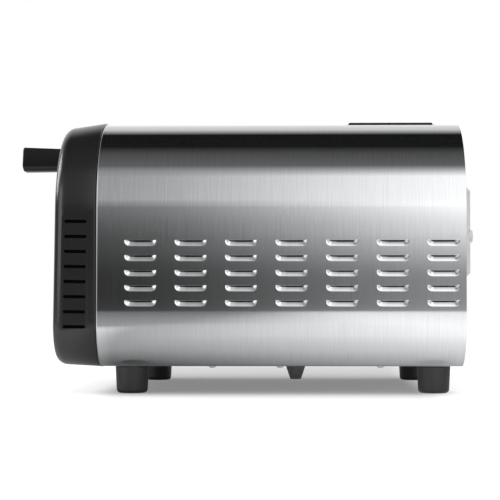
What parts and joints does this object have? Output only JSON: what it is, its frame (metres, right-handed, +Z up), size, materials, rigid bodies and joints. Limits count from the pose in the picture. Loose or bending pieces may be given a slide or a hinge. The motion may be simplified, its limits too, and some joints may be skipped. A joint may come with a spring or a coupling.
{
  "type": "electric pizza oven",
  "caption": "Countertop electric pizza oven with a louvred steel wrap, a dark front moulding, a drop-down glass door, a short pull handle and push-button controls.",
  "frame": {"origin": "middle of the box on the table plane", "axes": "+Z up, +Y to the rear, the door faces -Y, +X to the right seen from the front"},
  "size_m": [0.374, 0.506, 0.2859],
  "materials": {
    "steel_wrap": "brushed stainless steel, grain upright",
    "sheet_steel": "plain bright sheet",
    "screw_steel": "zinc-plated steel",
    "liner_steel": "heat-dulled steel",
    "cover_grey": "light grey satin paint",
    "vent_black": "black satin paint",
    "moulding_charcoal": "charcoal satin, fine grain",
    "door_black": "black, low gloss",
    "handle_black": "black satin",
    "fascia_black": "black gloss",
    "display_black": "dark tinted window",
    "button_grey": "grey satin",
    "component_black": "moulded black",
    "board_green": "green board",
    "rubber_black": "black rubber",
    "foot_rubber": "dark grey rubber",
    "seal_grey": "woven glass-fibre seal",
    "wool": "mineral wool",
    "heater_tube": "heat-browned tube",
    "white_ceramic": "unglazed white",
    "stone_tan": "cordierite, tan",
    "glass_dark": "grey tinted pane",
    "glass_clear": "clear pane"
  },
  "bodies": {
    "body": {"outer_shell": "steel_wrap", "base_plate": "sheet_steel", "front_panel": "vent_black", "rear_panel": "sheet_steel", "rear_cover": "cover_grey", "cord_gland": "cover_grey", "front_bezel": "moulding_charcoal", "vent_collar": "steel_wrap", "vent_grille": "vent_black", "foot_front_left": "foot_rubber", "foot_front_right": "foot_rubber", "foot_rear_left": "foot_rubber", "foot_rear_right": "foot_rubber", "foot_screws": "screw_steel", "base_screws": "screw_steel", "rear_screws": "screw_steel", "cover_screws": "screw_steel", "bezel_screws": "screw_steel", "centre_stud": "vent_black", "rear_spacers": "screw_steel", "oven_liner": "liner_steel", "mouth_seal": "seal_grey", "insulation_wrap": "wool", "insulation_floor": "wool", "insulation_rear": "wool", "upper_heater": "heater_tube", "lower_heater": "heater_tube", "heater_clips": "sheet_steel", "heater_bushes": "white_ceramic", "stone_rests": "sheet_steel", "temperature_probe": "screw_steel", "thermal_cutout": "component_black", "hinge_brackets": "sheet_steel", "hinge_pins": "screw_steel", "control_fascia": "fascia_black", "display_window": "display_black", "display_module": "component_black", "control_board": "board_green", "button_switches": "component_black", "power_board": "board_green", "terminal_block": "white_ceramic"},
    "door": {"door_frame": "door_black", "window_outer": "glass_dark", "window_gasket": "rubber_black", "window_inner": "glass_clear", "door_inner_panel": "sheet_steel", "door_screws": "screw_steel", "handle_grip": "handle_black", "handle_screws": "screw_steel", "stop_pins": "screw_steel"},
    "button_power_cap": {"button_power": "button_grey"},
    "button_program_cap": {"button_program": "button_grey"},
    "button_light_cap": {"button_light": "button_grey"},
    "button_less_cap": {"button_less": "button_grey"},
    "button_more_cap": {"button_more": "button_grey"},
    "button_start_cap": {"button_start": "button_grey"},
    "stone": {"pizza_stone": "stone_tan"}
  },
  "joints": [
    {"name": "door_hinge", "type": "hinge", "parent": "body", "child": "door", "pos_m": [0, -0.18033, 0.11137], "axis": [1, 0, 0], "range_deg": [0, 90]},
    {"name": "button_power_press", "type": "slide", "parent": "body", "child": "button_power_cap", "axis": [0, 0.9999, -0.014], "range_m": [0, 0.0012], "stiffness_N_per_m": 400},
    {"name": "button_program_press", "type": "slide", "parent": "body", "child": "button_program_cap", "axis": [0, 0.9999, -0.014], "range_m": [0, 0.0012], "stiffness_N_per_m": 400},
    {"name": "button_light_press", "type": "slide", "parent": "body", "child": "button_light_cap", "axis": [0, 0.9999, -0.014], "range_m": [0, 0.0012], "stiffness_N_per_m": 400},
    {"name": "button_less_press", "type": "slide", "parent": "body", "child": "button_less_cap", "axis": [0, 0.9999, -0.014], "range_m": [0, 0.0012], "stiffness_N_per_m": 400},
    {"name": "button_more_press", "type": "slide", "parent": "body", "child": "button_more_cap", "axis": [0, 0.9999, -0.014], "range_m": [0, 0.0012], "stiffness_N_per_m": 400},
    {"name": "button_start_press", "type": "slide", "parent": "body", "child": "button_start_cap", "axis": [0, 0.9999, -0.014], "range_m": [0, 0.0012], "stiffness_N_per_m": 400},
    {"name": "stone_lift", "type": "slide", "parent": "body", "child": "stone", "axis": [0, 0, 1], "range_m": [0, 0.03]}
  ]
}
